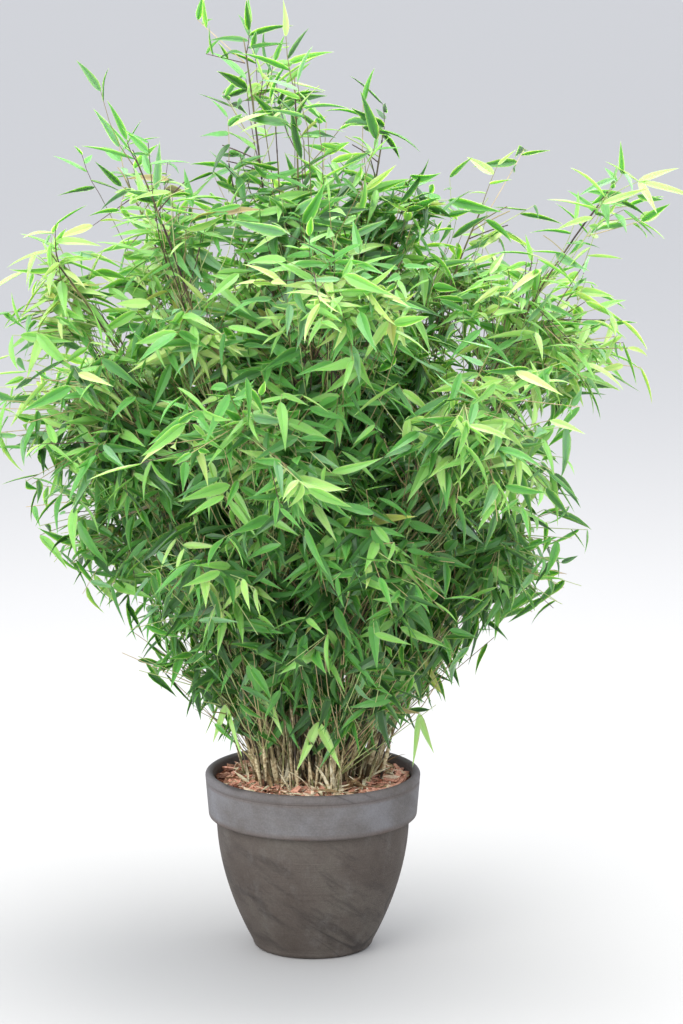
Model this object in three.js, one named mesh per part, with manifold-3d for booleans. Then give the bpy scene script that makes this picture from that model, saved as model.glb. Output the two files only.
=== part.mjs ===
// A clump of slender bamboo growing in a round clay pot, in millimetres, +Z up.
// The origin is the centre of the pot's flat underside, and the clump's fullest side faces -Y.
// Each cane rises from the potting soil and ends where it enters its own mass of foliage.
// The mass goes on along the same curve: a stem, side twigs from it, and leaves from those.
import * as THREE from "three";
import { mergeVertices } from "three/addons/utils/BufferGeometryUtils.js";
import Module from "manifold-3d";

const wasm = await Module();
wasm.setup();

// Pot: a bulging body under a plain upright rim band
const POT_SIDES = 28;
const POT_HEIGHT = 251;
const RIM_RADIUS = 150;
const RIM_FOOT_RADIUS = 145.5;
const RIM_BAND = 64;
const RIM_LIP = 11;
const RIM_ROUNDING = 4;
const BODY_TOP_RADIUS = 134.5;
const FOOT_RADIUS = 80;
const FOOT_ROUNDING = 4;
const BODY_BULGE = 1.9;
const BODY_STEPS = 6;
const WALL = 11;
const FLOOR = 12;
const DRAIN_RADIUS = 7;
const DRAIN_CIRCLE = 38;
const DRAINS = 3;

// Soil: fills the pot to a little under the rim, and dips towards the wall
const CLEARANCE = 0.4;
const SOIL_BELOW_RIM = 17;
const SOIL_DIP = 5;
const SOIL_LEVEL_RADIUS = 104;
const SOIL_LEVEL = POT_HEIGHT - SOIL_BELOW_RIM;

// Canes
const CANE_SIDES = 5;
const CANE_STEPS = 4;
const CANE_FOOT_RADIUS = 2.7;
const CANE_TIP_RADIUS = 1.1;
const CANE_SPREAD_EARLY = 0.3;
const CANE_RISE_EARLY = 0.62;
const TOUCHING_GAP = 0.3;
const CANE_CLEARANCE = 1.2;

// Twigs and leaves: each leaf stands for a spray, so it is larger than a real one
const STEM_STEPS = 3;
const STEM_TIP_RADIUS = 1.4;
const TWIG_TAPER = 0.8;
const TWIG_TRIES = 120;
const LEAF_WIDTH = 0.24;
const LEAF_THICKNESS = 0.022;
const LEAF_WIDEST_AT = 0.25;
const LEAF_ROOT_SUNK = 0.4;
const LEAF_LENGTHS = [1, 0.85, 0.7, 0.58];
const ROOT_REACH = 6;
const SPACE_MARGIN = 4;
const GOLDEN_TURN = 137.5;
const GOLDEN_SHARE = 0.618;
const LEAF_ROLL = 62;
const LEAF_PITCH_SPREAD = 24;
const SIDE_PLACES = [0.78, 0.42];
const SIDE_TURN = 54;
const SIDE_TRIES = 4;
const LEAVES_ON_TWIG = 2;
const TIP_LEAN = 8;
const TIP_TWIG = 0.4;
const TIP_LIFT = 34;

// Tiers of canes round the clump, from the lowest to the highest.
// Each has evenly turned canes whose tips lie on one ring.
const TIERS = [
  { name: "low", canes: 4, footRing: 78, tipRing: 168, tipHeight: 395, foliageFrom: 0.42,
    turn: 38, leaves: 12, twigLength: 46, leafLength: 132, pitch: -46 },
  { name: "skirt", canes: 6, footRing: 70, tipRing: 262, tipHeight: 620, foliageFrom: 0.48,
    turn: -10, leaves: 20, twigLength: 58, leafLength: 150, pitch: -38 },
  { name: "flank", canes: 6, empty: [0], footRing: 60, tipRing: 315, tipHeight: 800,
    foliageFrom: 0.56, turn: 18, leaves: 26, twigLength: 66, leafLength: 158, pitch: -34 },
  { name: "heart", canes: 1, footRing: 8, tipRing: 30, tipHeight: 740, foliageFrom: 0.32,
    turn: 200, leaves: 22, twigLength: 38, leafLength: 130, pitch: -40 },
  { name: "crown", canes: 2, footRing: 30, tipRing: 120, tipHeight: 900, foliageFrom: 0.54,
    turn: -60, leaves: 20, twigLength: 34, leafLength: 122, pitch: -34 },
  { name: "upper", footShare: 0.15, foliageFrom: 0.64, leaves: 23, twigLength: 60,
    leafLength: 146, pitch: -24,
    tips: [[96, 100, 1120], [30, -240, 1010], [-20, 260, 990], [235, 190, 1010]] },
  { name: "leader", footShare: 0.15, foliageFrom: 0.66, leaves: 18, twigLength: 54,
    leafLength: 130, pitch: -14,
    tips: [[-90, 60, 1240], [-22, -70, 1200], [-230, -120, 1110], [-260, 140, 1060],
      [385, -70, 1050], [360, 130, 900], [-340, -60, 965]] },
];

const DEGREE = Math.PI / 180;
const UP = new THREE.Vector3(0, 0, 1);

const material = (color, roughness) =>
  new THREE.MeshStandardMaterial({ color, roughness, metalness: 0 });
const CLAY = material(0x6b625b, 0.85);
const SOIL = material(0x7a4a38, 0.95);
const CANE = material(0x8a7b4a, 0.55);
const FOLIAGE = material(0x6ba05a, 0.5);

// A number from 0 to 1 that depends only on its keys, so that leaving one leaf out changes no other.
function draw(...keys) {
  let mixed = 2166136261;
  for (const key of keys) {
    mixed = Math.imul(mixed ^ key, 16777619) >>> 0;
    mixed = Math.imul(mixed ^ (mixed >>> 15), 2246822519) >>> 0;
  }
  return ((mixed ^ (mixed >>> 13)) >>> 0) / 4294967296;
}

const between = (low, high, ...keys) => low + (high - low) * draw(...keys);

// Closed geometry to a solid, and a solid back to geometry
function solidOf(geometry) {
  const bare = geometry.clone();
  bare.deleteAttribute("normal");
  bare.deleteAttribute("uv");
  const merged = mergeVertices(bare, 1e-4);
  return new wasm.Manifold(new wasm.Mesh({
    numProp: 3,
    vertProperties: merged.attributes.position.array,
    triVerts: new Uint32Array(merged.index.array),
  }));
}

function geometryOf(solid) {
  const { vertProperties, triVerts } = solid.getMesh();
  const geometry = new THREE.BufferGeometry();
  geometry.setAttribute("position", new THREE.BufferAttribute(vertProperties, 3));
  geometry.setIndex(new THREE.BufferAttribute(triVerts, 1));
  geometry.computeVertexNormals();
  return geometry;
}

// Moves each vertex of a geometry, made round the Y axis from 0 to 1, to where place() puts it.
function reshape(geometry, place) {
  const position = geometry.attributes.position;
  for (let i = 0; i < position.count; i++) {
    const at = place(position.getX(i), position.getY(i) + 0.5, position.getZ(i));
    position.setXYZ(i, at.x, at.y, at.z);
  }
  return geometry;
}

// A tapering limb along a curve from share a to share b
function limb(curve, side, a, b, radiusA, radiusB, sides, steps) {
  const blank = new THREE.CylinderGeometry(1, 1, 1, sides, steps);
  return reshape(blank, (x, along, z) => {
    const share = a + (b - a) * along;
    const ahead = curve.getTangent(share);
    const across = new THREE.Vector3().crossVectors(side, ahead).normalize();
    const flank = new THREE.Vector3().crossVectors(ahead, across);
    const radius = radiusA + (radiusB - radiusA) * along;
    return curve.getPoint(share)
      .addScaledVector(across, z * radius)
      .addScaledVector(flank, x * radius);
  });
}

// A three-sided leaf, alone or with its twig, through a row of stations, pointed at the last one.
// At each station it is flat above from edge to edge, with a keel below.
function keeled(stations) {
  const steps = stations.length - 1;
  const blank = stations[0].halfWidth > 0
    ? new THREE.CylinderGeometry(0, 1, 1, 3, steps)
    : new THREE.SphereGeometry(1, 3, steps, Math.PI / 2).scale(1, 0.5, 1);
  return reshape(blank, (x, along, z) => {
    const { at, across, up, halfWidth = 0, depth = 0 } = stations[Math.round(along * steps)];
    const radius = Math.hypot(x, z);
    const edge = Math.abs(x) > 0.1 * radius ? Math.sign(x) : 0;
    const keel = radius > 0.01 && edge === 0;
    return at.clone()
      .addScaledVector(across, edge * halfWidth)
      .addScaledVector(up, keel ? -depth : 0);
  });
}

// Pot
function bodyRadius(height) {
  const share = Math.max(0, 1 - height / (POT_HEIGHT - RIM_BAND));
  return BODY_TOP_RADIUS - (BODY_TOP_RADIUS - FOOT_RADIUS) * share ** BODY_BULGE;
}

// The inside of the pot's wall from the floor up, drawn in by a clearance when the soil uses it
function insideWall(drawnIn) {
  const heights = [FLOOR + drawnIn, 50, 95, 145];
  const wall = heights.map((z) => new THREE.Vector2(bodyRadius(z) - WALL - drawnIn, z));
  wall.push(new THREE.Vector2(RIM_RADIUS - RIM_LIP - 1 - drawnIn, POT_HEIGHT - 3));
  return wall;
}

function pot() {
  const v = (r, z) => new THREE.Vector2(r, z);
  const bodyTop = POT_HEIGHT - RIM_BAND;
  const outside = [v(0, 0), v(FOOT_RADIUS - FOOT_ROUNDING, 0)];
  for (let i = 0; i <= BODY_STEPS; i++) {
    const z = FOOT_ROUNDING + ((bodyTop - 1 - FOOT_ROUNDING) * i) / BODY_STEPS;
    outside.push(v(bodyRadius(z), z));
  }
  const rim = [
    v(RIM_FOOT_RADIUS - RIM_ROUNDING, bodyTop),
    v(RIM_FOOT_RADIUS, bodyTop + RIM_ROUNDING),
    v(RIM_RADIUS, POT_HEIGHT - 3 * RIM_ROUNDING),
    v(RIM_RADIUS - 1, POT_HEIGHT - RIM_ROUNDING),
    v(RIM_RADIUS - RIM_ROUNDING, POT_HEIGHT),
    v(RIM_RADIUS - RIM_LIP + 1, POT_HEIGHT),
  ];
  const inside = insideWall(0).reverse();
  const profile = [...outside, ...rim, ...inside, v(0, FLOOR)];
  let shell = solidOf(upright(new THREE.LatheGeometry(profile, POT_SIDES)));
  for (let i = 0; i < DRAINS; i++) {
    const around = (2 * Math.PI * (i + 0.5)) / DRAINS;
    const hole = upright(new THREE.CylinderGeometry(DRAIN_RADIUS, DRAIN_RADIUS, 3 * FLOOR, 10));
    hole.translate(DRAIN_CIRCLE * Math.cos(around), DRAIN_CIRCLE * Math.sin(around), 0);
    shell = shell.subtract(solidOf(hole));
  }
  return geometryOf(shell);
}

// Lathe and cylinder geometry stands along Y, and the part stands along Z.
function upright(geometry) {
  return geometry.rotateX(Math.PI / 2);
}

function soil() {
  const wall = insideWall(CLEARANCE);
  const low = wall.at(-2);
  const high = wall.at(-1);
  const edge = SOIL_LEVEL - SOIL_DIP;
  const edgeRadius = low.x + ((high.x - low.x) * (edge - low.y)) / (high.y - low.y);
  const profile = [
    new THREE.Vector2(0, wall[0].y),
    ...wall.slice(0, -1),
    new THREE.Vector2(edgeRadius, edge),
    new THREE.Vector2(SOIL_LEVEL_RADIUS, SOIL_LEVEL),
    new THREE.Vector2(0, SOIL_LEVEL),
  ];
  return upright(new THREE.LatheGeometry(profile, POT_SIDES));
}

// Where the canes of a tier have their tips: at its own points, or evenly turned on its ring
function tipsOf(tier, t) {
  if (tier.tips) return tier.tips;
  const places = Array.from({ length: tier.canes }, (_, i) => i);
  return places.filter((i) => !tier.empty?.includes(i)).map((i) => {
    const key = t * 16 + i;
    const around = (tier.turn + (360 * (i + between(-0.1, 0.1, key, 1))) / tier.canes) * DEGREE;
    const reach = tier.tipRing * between(0.92, 1.08, key, 2);
    const height = tier.tipHeight * between(0.965, 1.035, key, 3);
    return [reach * Math.cos(around), reach * Math.sin(around), height];
  });
}

function canePlan(tier, tierIndex, tip, index) {
  const key = tierIndex * 16 + index;
  const [x, y, z] = tip;
  const around = Math.atan2(y, x) + between(-0.12, 0.12, key, 4);
  const footReach = (tier.footRing ?? tier.footShare * Math.hypot(x, y)) * between(0.9, 1.1, key, 5);
  const foot = new THREE.Vector3(
    footReach * Math.cos(around), footReach * Math.sin(around), SOIL_LEVEL + TOUCHING_GAP);
  const end = new THREE.Vector3(x, y, z);
  const knee = foot.clone().lerp(end, CANE_SPREAD_EARLY);
  knee.z = foot.z + (end.z - foot.z) * CANE_RISE_EARLY;
  const outward = new THREE.Vector3(x - foot.x, y - foot.y, 0).normalize();
  return {
    key,
    tier,
    name: `${tier.name}_${index + 1}`,
    curve: new THREE.QuadraticBezierCurve3(foot, knee, end),
    side: new THREE.Vector3().crossVectors(UP, outward),
    outward,
    twist: between(0, 360, key, 6),
  };
}

const plans = TIERS.flatMap((tier, t) => tipsOf(tier, t).map((tip, i) => canePlan(tier, t, tip, i)));

const radiusAt = (share) => CANE_FOOT_RADIUS + (CANE_TIP_RADIUS - CANE_FOOT_RADIUS) * share;

// The stem in a mass goes on from its cane's radius, and stays thick enough to root twigs in.
const stemRadius = ({ tier }, place) =>
  THREE.MathUtils.lerp(radiusAt(tier.foliageFrom), STEM_TIP_RADIUS, place);

function cane(plan, grow = 0) {
  const { curve, side, tier } = plan;
  const end = tier.foliageFrom - TOUCHING_GAP / 2 / curve.getLength();
  const geometry = limb(
    curve, side, 0, end, radiusAt(0) + grow, radiusAt(end) + grow, CANE_SIDES, CANE_STEPS);
  // The foot is cut level, to stand flat on the soil.
  const position = geometry.attributes.position;
  const floor = curve.v0.z;
  for (let i = 0; i < position.count; i++) {
    if (position.getZ(i) < floor + CANE_FOOT_RADIUS) position.setZ(i, floor);
  }
  return geometry;
}

// The middle line of a mass's stem, in its straight steps, and a point at a place along it
for (const plan of plans) {
  const from = plan.tier.foliageFrom;
  plan.stem = Array.from({ length: STEM_STEPS + 1 }, (_, i) =>
    plan.curve.getPoint(from + ((1 - from) * i) / STEM_STEPS));
}

function stemPoint(plan, place) {
  const step = Math.min(Math.floor(place * STEM_STEPS), STEM_STEPS - 1);
  return plan.stem[step].clone().lerp(plan.stem[step + 1], place * STEM_STEPS - step);
}

// The space of each mass is all that lies nearer to its own stem than to any other.
function distanceToStem(point, plan) {
  const nearest = new THREE.Vector3();
  const part = new THREE.Line3();
  let least = Infinity;
  for (let i = 1; i < plan.stem.length; i++) {
    part.set(plan.stem[i - 1], plan.stem[i]).closestPointToPoint(point, true, nearest);
    least = Math.min(least, nearest.distanceTo(point));
  }
  return least;
}

function inOwnSpace(point, plan) {
  const own = distanceToStem(point, plan) + SPACE_MARGIN;
  return plans.every((other) => other === plan || distanceToStem(point, other) > own);
}

const canesGrown = wasm.Manifold.union(plans.map((plan) => solidOf(cane(plan, CANE_CLEARANCE))));
const potGrown = solidOf(upright(new THREE.CylinderGeometry(
  RIM_RADIUS + CANE_CLEARANCE, RIM_RADIUS + CANE_CLEARANCE, POT_HEIGHT, POT_SIDES)
  .translate(0, POT_HEIGHT / 2 + CANE_CLEARANCE, 0)));

// A twig or leaf is kept only where all of it lies in its own space, clear of canes and pot,
// and where all but its root is clear of what is there already.
function fits(stations, solid, geometry, plan, present) {
  for (let i = 1; i < stations.length; i++) {
    for (const share of [0.25, 0.5, 0.75, 1]) {
      const point = stations[i - 1].at.clone().lerp(stations[i].at, share);
      if (!inOwnSpace(point, plan)) return false;
    }
  }
  const corner = new THREE.Vector3();
  const position = geometry.attributes.position;
  for (let i = 0; i < position.count; i++) {
    if (!inOwnSpace(corner.fromBufferAttribute(position, i), plan)) return false;
  }
  if (!solid.intersect(canesGrown).isEmpty() || !solid.intersect(potGrown).isEmpty()) return false;
  const [root, next, ...others] = stations;
  const outside = ROOT_REACH / root.at.distanceTo(next.at);
  const start = { ...root, at: root.at.clone().lerp(next.at, outside) };
  const beyondRoot = solidOf(keeled([start, next, ...others]));
  return present.every((other) => beyondRoot.intersect(other).isEmpty());
}

// A leaf's direction and pose: turned from its twig's, then pitched and rolled.
// The spray at the stem's tip, whose index is 0, lifts its leaves.
function leafPlan(plan, root, along, turn, ...keys) {
  const { tier, key } = plan;
  const spread = (turn + between(-14, 14, key, ...keys, 12)) * DEGREE;
  const lift = keys[0] === 0 ? TIP_LIFT : 0;
  const swing = between(-LEAF_PITCH_SPREAD, LEAF_PITCH_SPREAD, key, ...keys, 13);
  const pitch = (tier.pitch + lift + swing) * DEGREE;
  const level = new THREE.Vector3(along.x, along.y, 0).normalize().applyAxisAngle(UP, spread);
  const heading = level.clone().multiplyScalar(Math.cos(pitch))
    .addScaledVector(UP, Math.sin(pitch));
  const across = new THREE.Vector3().crossVectors(UP, level)
    .applyAxisAngle(heading, between(-LEAF_ROLL, LEAF_ROLL, key, ...keys, 14) * DEGREE);
  return {
    root, heading, across,
    up: new THREE.Vector3().crossVectors(heading, across),
    length: tier.leafLength * between(0.88, 1.12, key, ...keys, 15),
    droop: between(0.04, 0.16, key, ...keys, 16),
  };
}

// The widest station of a leaf and its tip, which hangs a little lower than its heading
function bladeStations({ root, heading, across, up, droop }, length) {
  return [{
    at: root.clone().addScaledVector(heading, length * LEAF_WIDEST_AT),
    across, up,
    halfWidth: (length * LEAF_WIDTH) / 2,
    depth: length * LEAF_THICKNESS,
  }, {
    at: root.clone().addScaledVector(heading, length).addScaledVector(UP, -droop * length),
    across, up,
  }];
}

// The solid of a leaf at the longest of its lengths that fits, with what goes before it
function fitLeaf(before, leaf, plan, present) {
  for (const share of LEAF_LENGTHS) {
    const stations = [...before, ...bladeStations(leaf, leaf.length * share)];
    const geometry = keeled(stations);
    const solid = solidOf(geometry);
    if (fits(stations, solid, geometry, plan, present)) return solid;
  }
  return null;
}

// A leaf at a twig's side, in the first of several poses that fits
function sideLeaf(plan, from, ahead, turn, present, ...keys) {
  for (let i = 0; i < SIDE_TRIES; i++) {
    const leaf = leafPlan(plan, from.clone(), ahead, turn, ...keys, i);
    leaf.root.addScaledVector(leaf.heading, -LEAF_ROOT_SUNK);
    const apex = { at: leaf.root, across: leaf.across, up: leaf.up };
    const solid = fitLeaf([apex], leaf, plan, present);
    if (solid) return solid;
  }
  return null;
}

// A twig from a stem of the given radius, with a leaf at its end and others at its sides
function spray(plan, index, root, ahead, radius, length) {
  const end = root.clone().addScaledVector(ahead, length);
  const across = new THREE.Vector3().crossVectors(UP, ahead).normalize();
  const up = new THREE.Vector3().crossVectors(ahead, across);
  const section = (at, wide) => ({
    at: at.clone().addScaledVector(up, 0.3 * wide), across, up,
    halfWidth: 0.7 * wide,
    depth: 1.05 * wide,
  });
  const twig = [section(root, radius), section(end, radius * TWIG_TAPER)];
  const ending = fitLeaf(twig, leafPlan(plan, end, ahead, 0, index, 0), plan, [plan.taken]);
  if (!ending) return [];
  const pieces = [ending];
  SIDE_PLACES.forEach((place, i) => {
    const turn = i % 2 ? -SIDE_TURN : SIDE_TURN;
    const present = [plan.taken, ...pieces];
    const leaf = sideLeaf(plan, root.clone().lerp(end, place), ahead, turn, present, index, 1 + i);
    if (leaf) pieces.push(leaf);
  });
  return pieces.length >= LEAVES_ON_TWIG ? pieces : [];
}

// Side twigs leave the stem in turn all round it. The first goes on from the stem's tip.
function sprayOf(plan, index) {
  const { tier, key, curve, side, outward } = plan;
  const atTip = index === 0;
  const place = atTip ? 1 : 0.04 + 0.88 * ((draw(key, 17) + GOLDEN_SHARE * index) % 1);
  const around = (plan.twist + GOLDEN_TURN * index) * DEGREE;
  const radial = outward.clone().multiplyScalar(Math.cos(around))
    .addScaledVector(side, Math.sin(around));
  const lean = (atTip ? TIP_LEAN : between(48, 72, key, index, 8)) * DEGREE;
  const ahead = curve.getTangent(THREE.MathUtils.lerp(tier.foliageFrom, 1, place))
    .multiplyScalar(Math.cos(lean))
    .addScaledVector(radial, Math.sin(lean)).normalize();
  const length = tier.twigLength * (atTip ? TIP_TWIG : between(0.75, 1.2, key, index, 9));
  const root = stemPoint(plan, place).addScaledVector(ahead, atTip ? -STEM_TIP_RADIUS : 0);
  return spray(plan, index, root, ahead, stemRadius(plan, place), length);
}

// The mass: its stem, and sprays in turn until it has its number of leaves
function foliage(plan) {
  const { curve, side, tier } = plan;
  const from = tier.foliageFrom + TOUCHING_GAP / 2 / curve.getLength();
  plan.taken = solidOf(
    limb(curve, side, from, 1, radiusAt(from), STEM_TIP_RADIUS, CANE_SIDES, STEM_STEPS));
  plan.leaves = 0;
  for (let i = 0; i < TWIG_TRIES && plan.leaves < tier.leaves; i++) {
    const pieces = sprayOf(plan, i);
    plan.leaves += pieces.length;
    plan.taken = wasm.Manifold.union([plan.taken, ...pieces]);
  }
  return geometryOf(plan.taken);
}

const plant = new THREE.Group();

function add(name, geometry, finish) {
  const mesh = new THREE.Mesh(geometry, finish);
  mesh.name = name;
  plant.add(mesh);
}

add("pot", pot(), CLAY);
add("potting_soil", soil(), SOIL);
for (const plan of plans) {
  add(`cane_${plan.name}`, cane(plan), CANE);
  add(`foliage_${plan.name}`, foliage(plan), FOLIAGE);
}

export default plant;
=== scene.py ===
"""Looks of a potted bamboo: clay pot, bark mulch, canes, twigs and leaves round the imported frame."""

import math
from types import SimpleNamespace

import bpy
import numpy as np
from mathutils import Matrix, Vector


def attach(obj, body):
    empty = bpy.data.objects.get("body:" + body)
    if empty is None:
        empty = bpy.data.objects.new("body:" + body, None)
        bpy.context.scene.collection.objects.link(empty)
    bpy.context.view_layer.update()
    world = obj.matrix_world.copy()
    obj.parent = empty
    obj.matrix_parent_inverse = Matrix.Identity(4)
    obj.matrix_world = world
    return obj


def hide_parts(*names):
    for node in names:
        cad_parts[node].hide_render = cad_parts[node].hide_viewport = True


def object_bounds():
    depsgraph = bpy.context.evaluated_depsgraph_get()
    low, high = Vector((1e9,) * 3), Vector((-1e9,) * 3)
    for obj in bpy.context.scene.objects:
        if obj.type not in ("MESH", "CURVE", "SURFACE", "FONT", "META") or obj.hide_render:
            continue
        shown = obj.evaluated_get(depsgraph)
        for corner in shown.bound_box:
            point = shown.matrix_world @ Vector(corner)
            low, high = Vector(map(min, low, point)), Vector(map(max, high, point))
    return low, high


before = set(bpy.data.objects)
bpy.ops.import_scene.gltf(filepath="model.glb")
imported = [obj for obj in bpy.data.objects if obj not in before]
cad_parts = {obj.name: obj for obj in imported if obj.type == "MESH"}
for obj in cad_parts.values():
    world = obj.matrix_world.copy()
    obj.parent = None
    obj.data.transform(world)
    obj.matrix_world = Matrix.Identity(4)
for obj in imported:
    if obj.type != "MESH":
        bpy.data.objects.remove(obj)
cad_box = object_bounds()

# Lengths are in millimetres, as in the part's source, and become metres in the meshes.
MM = 0.001

# Pot
POT_SIDES = 144
POT_HEIGHT = 251
RIM_RADIUS = 150
RIM_FOOT_RADIUS = 145.5
RIM_BAND = 64
BODY_HEIGHT = POT_HEIGHT - RIM_BAND
RIM_LIP = 11
RIM_ROUNDING = 4.5
BODY_TOP_RADIUS = 134.5
FOOT_RADIUS = 80
FOOT_ROUNDING = 8
BODY_BULGE = 1.9
BODY_STEPS = 26
WALL = 11
FLOOR = 12
INSIDE_HEIGHTS = (145, 95, 50, FLOOR)
GROOVE_HEIGHT = 237.5
GROOVE_DEPTH = 1
DRAIN_RADIUS = 7
DRAIN_CIRCLE = 38
DRAINS = 3

# Mulch
SOIL_LEVEL = 234
MULCH_LEVEL = 239
MULCH_RADIUS = 138
MULCH_ROUGHNESS = 9
MULCH_CROWN = 3
CHIPS = 1100
CHIP_LENGTH = (9, 30)
CHIP_WIDTH_SHARE = (0.5, 0.95)
STRAWS = 340
STRAW_LENGTH = (18, 62)
STRAW_WIDTH = (3, 8)
STANDING_STRAWS = 0.42

# Canes, by the rule of the part's source
CANE_FOOT_RADIUS = 2.7
CANE_TIP_RADIUS = 1.1
CANE_OVER_SOIL = 0.3
CANE_BURIED = 4
CANE_SPREAD_EARLY = 0.3
CANE_RISE_EARLY = 0.62
INTERNODES = 9
COMPANIONS = 6
LEAFY_COMPANIONS = 4
COMPANION_RADIUS = (0.34, 0.74)
COMPANION_SHIFT = (5, 32)
COMPANION_AWAY = (10, 55)
COMPANION_END = (0.55, 0.97)
COMPANION_FEET = 100
YOUNG_UNDER = 1.35
SHEATHS_ON_CANE = 2
SHEATH_LENGTH = (24, 46)

# Twigs and leaves, by the rule of the part's source
STEM_STEPS = 3
STEM_TIP_RADIUS = 1.4
TWIG_TRIES = 120
LEAF_LENGTHS = (1, 0.85, 0.7, 0.58)
SPACE_MARGIN = 4
GOLDEN_TURN = 137.5
GOLDEN_SHARE = 0.618
TWIG_LEAN = (48, 72)
TWIG_STRETCH = (0.75, 1.2)
LEAF_STRETCH = (0.88, 1.12)
LEAF_DROOP = (0.04, 0.16)
LEAF_SWING = 14
LEAF_ROLL = 62
LEAF_PITCH_SPREAD = 24
SIDE_PLACES = (0.78, 0.42)
SIDE_TURN = 54
SIDE_TRIES = 4
LEAVES_ON_TWIG = 2
TIP_LEAN = 8
TIP_TWIG = 0.4
TIP_LIFT = 34

# Finer growth, where the source has one larger leaf: upright twigs with a few leaves at their ends
FULLER = 1.35
FINE_TWIG_PLACES = (0.06, 0.25, 0.43, 0.6, 0.76)
FINE_TWIG_SCATTER = 16
FINE_TWIG_RISE = 46
FINE_TWIG_STEEPNESS = 1.15
FINE_TWIG_LONGEST = 230
FINE_TWIG_RADII = (0.8, 0.46)
LEAVES_APART = 12
LEAF_TURNS = (0, 105, -110, 170)
LEAF_COUNTS = (2, 3, 4)
LEAF_COUNT_SHARES = (0.34, 0.44, 0.22)
LEAF_SIZE = (41, 79)
LEAF_SLIMNESS = (0.165, 0.22)
LOW_LEAF_PITCH = -44
HIGH_LEAF_PITCH = 0
TOP_LEAF_LIFT = 140
COMPANION_TWIGS = 23
COMPANION_REACH = (20, 120)
COMPANION_LEAVES_FROM = 0.34
OPEN_FOOT = 505
OPEN_FOOT_RADIUS = 215
OPEN_FOOT_KEPT = 0.45
UNDERSIDE = 283
UNDERSIDE_RISE = 300
OPEN_TOP = (1030, 1190)
OPEN_TOP_SLOPE = 0.6
OPEN_TOP_KEPT = 0.12
TIP_LEAVES = 5
TIP_LENGTH = (35, 85)

# Sprigs that hang over the canes' feet, each by the place of its leaves
HANGING_SPRIGS = [(8, -130, 351), (-118, -88, 366), (-72, -118, 404), (60, -116, 396), (146, -78, 350),
                  (132, -100, 428), (-30, 120, 380), (90, 112, 372), (-122, 78, 360)]
HANGING_PITCH = (-74, -52)
HANGING_LEAF = (66, 84)
HANGING_SLIMNESS = 0.19

# The side shoot that reaches furthest out, at the top right: its end, and each leaf's turn, pitch, length
SIDE_SHOOT_END = (438, -74, 1082)
SIDE_SHOOT_LEAVES = ((-5, -10, 90), (38, 16, 78), (-142, 34, 66), (-70, -26, 70))

# One blade: places along it, and the share of its full width there
BLADE_ROWS = ((0, 0.06), (0.07, 0.62), (0.22, 1), (0.4, 0.93), (0.6, 0.66), (0.82, 0.28), (1, 0))
BLADE_FOLD = 0.18
BLADE_THICKNESS = 0.04

# Studio, in metres
CAMERA_PLACE = (0.040, -5.5, 1.673)
CAMERA_DOWN = 10.87
CAMERA_LENS = 142.85
STUDIO_FLOOR = 90
SKY = (0.86, 0.9, 1, 1)
SKY_STRENGTH = 1.55
SOFTBOXES = (
    ("key_softbox", (-1.9, -2.9, 2.4), (62, 0, -33), 2.6, 110),
    ("top_softbox", (0.5, 0.6, 3.6), (-9, 6, 0), 2.8, 150),
)

TIERS = [
    dict(name="low", canes=4, foot_ring=78, tip_ring=168, tip_height=395, foliage_from=0.42,
         turn=38, leaves=12, twig_length=46, leaf_length=132, pitch=-46),
    dict(name="skirt", canes=6, foot_ring=70, tip_ring=262, tip_height=620, foliage_from=0.48,
         turn=-10, leaves=20, twig_length=58, leaf_length=150, pitch=-38),
    dict(name="flank", canes=6, empty=(0,), foot_ring=60, tip_ring=315, tip_height=800,
         foliage_from=0.56, turn=18, leaves=26, twig_length=66, leaf_length=158, pitch=-34),
    dict(name="heart", canes=1, foot_ring=8, tip_ring=30, tip_height=740, foliage_from=0.32,
         turn=200, leaves=22, twig_length=38, leaf_length=130, pitch=-40),
    dict(name="crown", canes=2, foot_ring=30, tip_ring=120, tip_height=900, foliage_from=0.54,
         turn=-60, leaves=20, twig_length=34, leaf_length=122, pitch=-34),
    dict(name="upper", foot_share=0.15, foliage_from=0.64, leaves=23, twig_length=60,
         leaf_length=146, pitch=-24,
         tips=[(96, 100, 1120), (30, -240, 1010), (-20, 260, 990), (235, 190, 1010)]),
    dict(name="leader", foot_share=0.15, foliage_from=0.66, leaves=18, twig_length=54,
         leaf_length=130, pitch=-14,
         tips=[(-90, 60, 1240), (-22, -70, 1200), (-230, -120, 1110), (-260, 140, 1060),
               (385, -70, 1050), (360, 130, 900), (-340, -60, 965)]),
]

EAST, NORTH, UP = np.eye(3)


def colour(red, green, blue):
    """A base colour from red, green and blue as a screen gives them, 0 to 255"""
    linear = [((c / 255 + 0.055) / 1.055) ** 2.4 if c > 10 else c / 255 / 12.92 for c in (red, green, blue)]
    return (*linear, 1)


# Materials


def put(tree, socket, value):
    """Sets a socket to a plain value, or links it to another node's output"""
    if isinstance(value, bpy.types.NodeSocket):
        tree.links.new(value, socket)
    else:
        socket.default_value = value


def node(tree, kind, **inputs):
    """A new shader node with its inputs, where an underscore stands for a space"""
    made = tree.nodes.new("ShaderNode" + kind)
    for name, value in inputs.items():
        put(tree, made.inputs[name.replace("_", " ")], value)
    return made


def new_material(name, tone, roughness, specular=0.5):
    """A named material with its Principled shader, whose plain values are set on the sockets"""
    material = bpy.data.materials.new(name)
    material.use_nodes = True
    shader = material.node_tree.nodes["Principled BSDF"]
    shader.inputs["Base Color"].default_value = colour(*tone)
    shader.inputs["Roughness"].default_value = roughness
    shader.inputs["Specular IOR Level"].default_value = specular
    return material, material.node_tree, shader


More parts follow.
